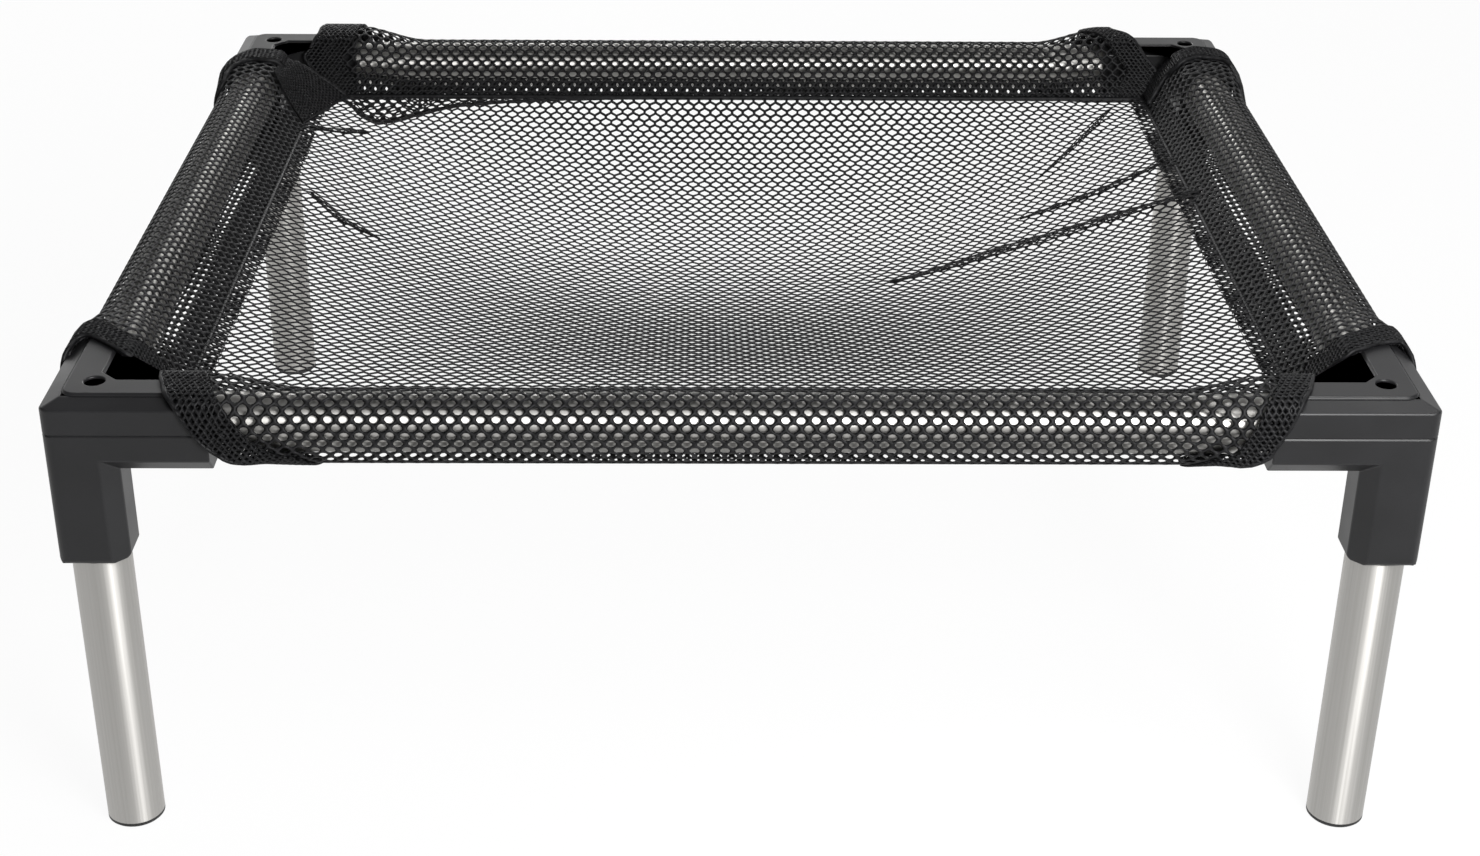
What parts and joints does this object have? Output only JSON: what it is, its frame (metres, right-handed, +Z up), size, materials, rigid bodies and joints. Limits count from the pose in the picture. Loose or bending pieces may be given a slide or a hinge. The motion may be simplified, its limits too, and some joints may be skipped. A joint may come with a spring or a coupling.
{
  "type": "raised dog cot",
  "caption": "Low raised dog cot: steel rails and pull-out steel legs joined by moulded three-way corners, under a sagging see-through net bed with sewn rail sleeves.",
  "frame": {"origin": "on the floor at the centre of the four legs", "axes": "+X to the right along the front rail, +Y to the rear, +Z up"},
  "size_m": [0.5918, 0.5058, 0.2222],
  "materials": {
    "corner_plastic": "fine moulded satin black",
    "tube_steel": "satin, polished along the tube",
    "foot_plastic": "matt black",
    "net": "open black knitted net"
  },
  "bodies": {
    "frame": {"front_left_corner": "corner_plastic", "front_right_corner": "corner_plastic", "rear_left_corner": "corner_plastic", "rear_right_corner": "corner_plastic", "front_rail": "tube_steel", "rear_rail": "tube_steel", "left_rail": "tube_steel", "right_rail": "tube_steel", "bed_panel": "net", "front_sleeve": "net", "rear_sleeve": "net", "left_sleeve": "net", "right_sleeve": "net"},
    "front_left_leg_body": {"front_left_leg": "tube_steel", "front_left_foot": "foot_plastic"},
    "front_right_leg_body": {"front_right_leg": "tube_steel", "front_right_foot": "foot_plastic"},
    "rear_left_leg_body": {"rear_left_leg": "tube_steel", "rear_left_foot": "foot_plastic"},
    "rear_right_leg_body": {"rear_right_leg": "tube_steel", "rear_right_foot": "foot_plastic"}
  },
  "joints": [
    {"name": "front_left_leg_slide", "type": "slide", "parent": "frame", "child": "front_left_leg_body", "axis": [0, 0, -1], "range_m": [0, 0.065]},
    {"name": "front_right_leg_slide", "type": "slide", "parent": "frame", "child": "front_right_leg_body", "axis": [0, 0, -1], "range_m": [0, 0.065]},
    {"name": "rear_left_leg_slide", "type": "slide", "parent": "frame", "child": "rear_left_leg_body", "axis": [0, 0, -1], "range_m": [0, 0.065]},
    {"name": "rear_right_leg_slide", "type": "slide", "parent": "frame", "child": "rear_right_leg_body", "axis": [0, 0, -1], "range_m": [0, 0.065]}
  ]
}
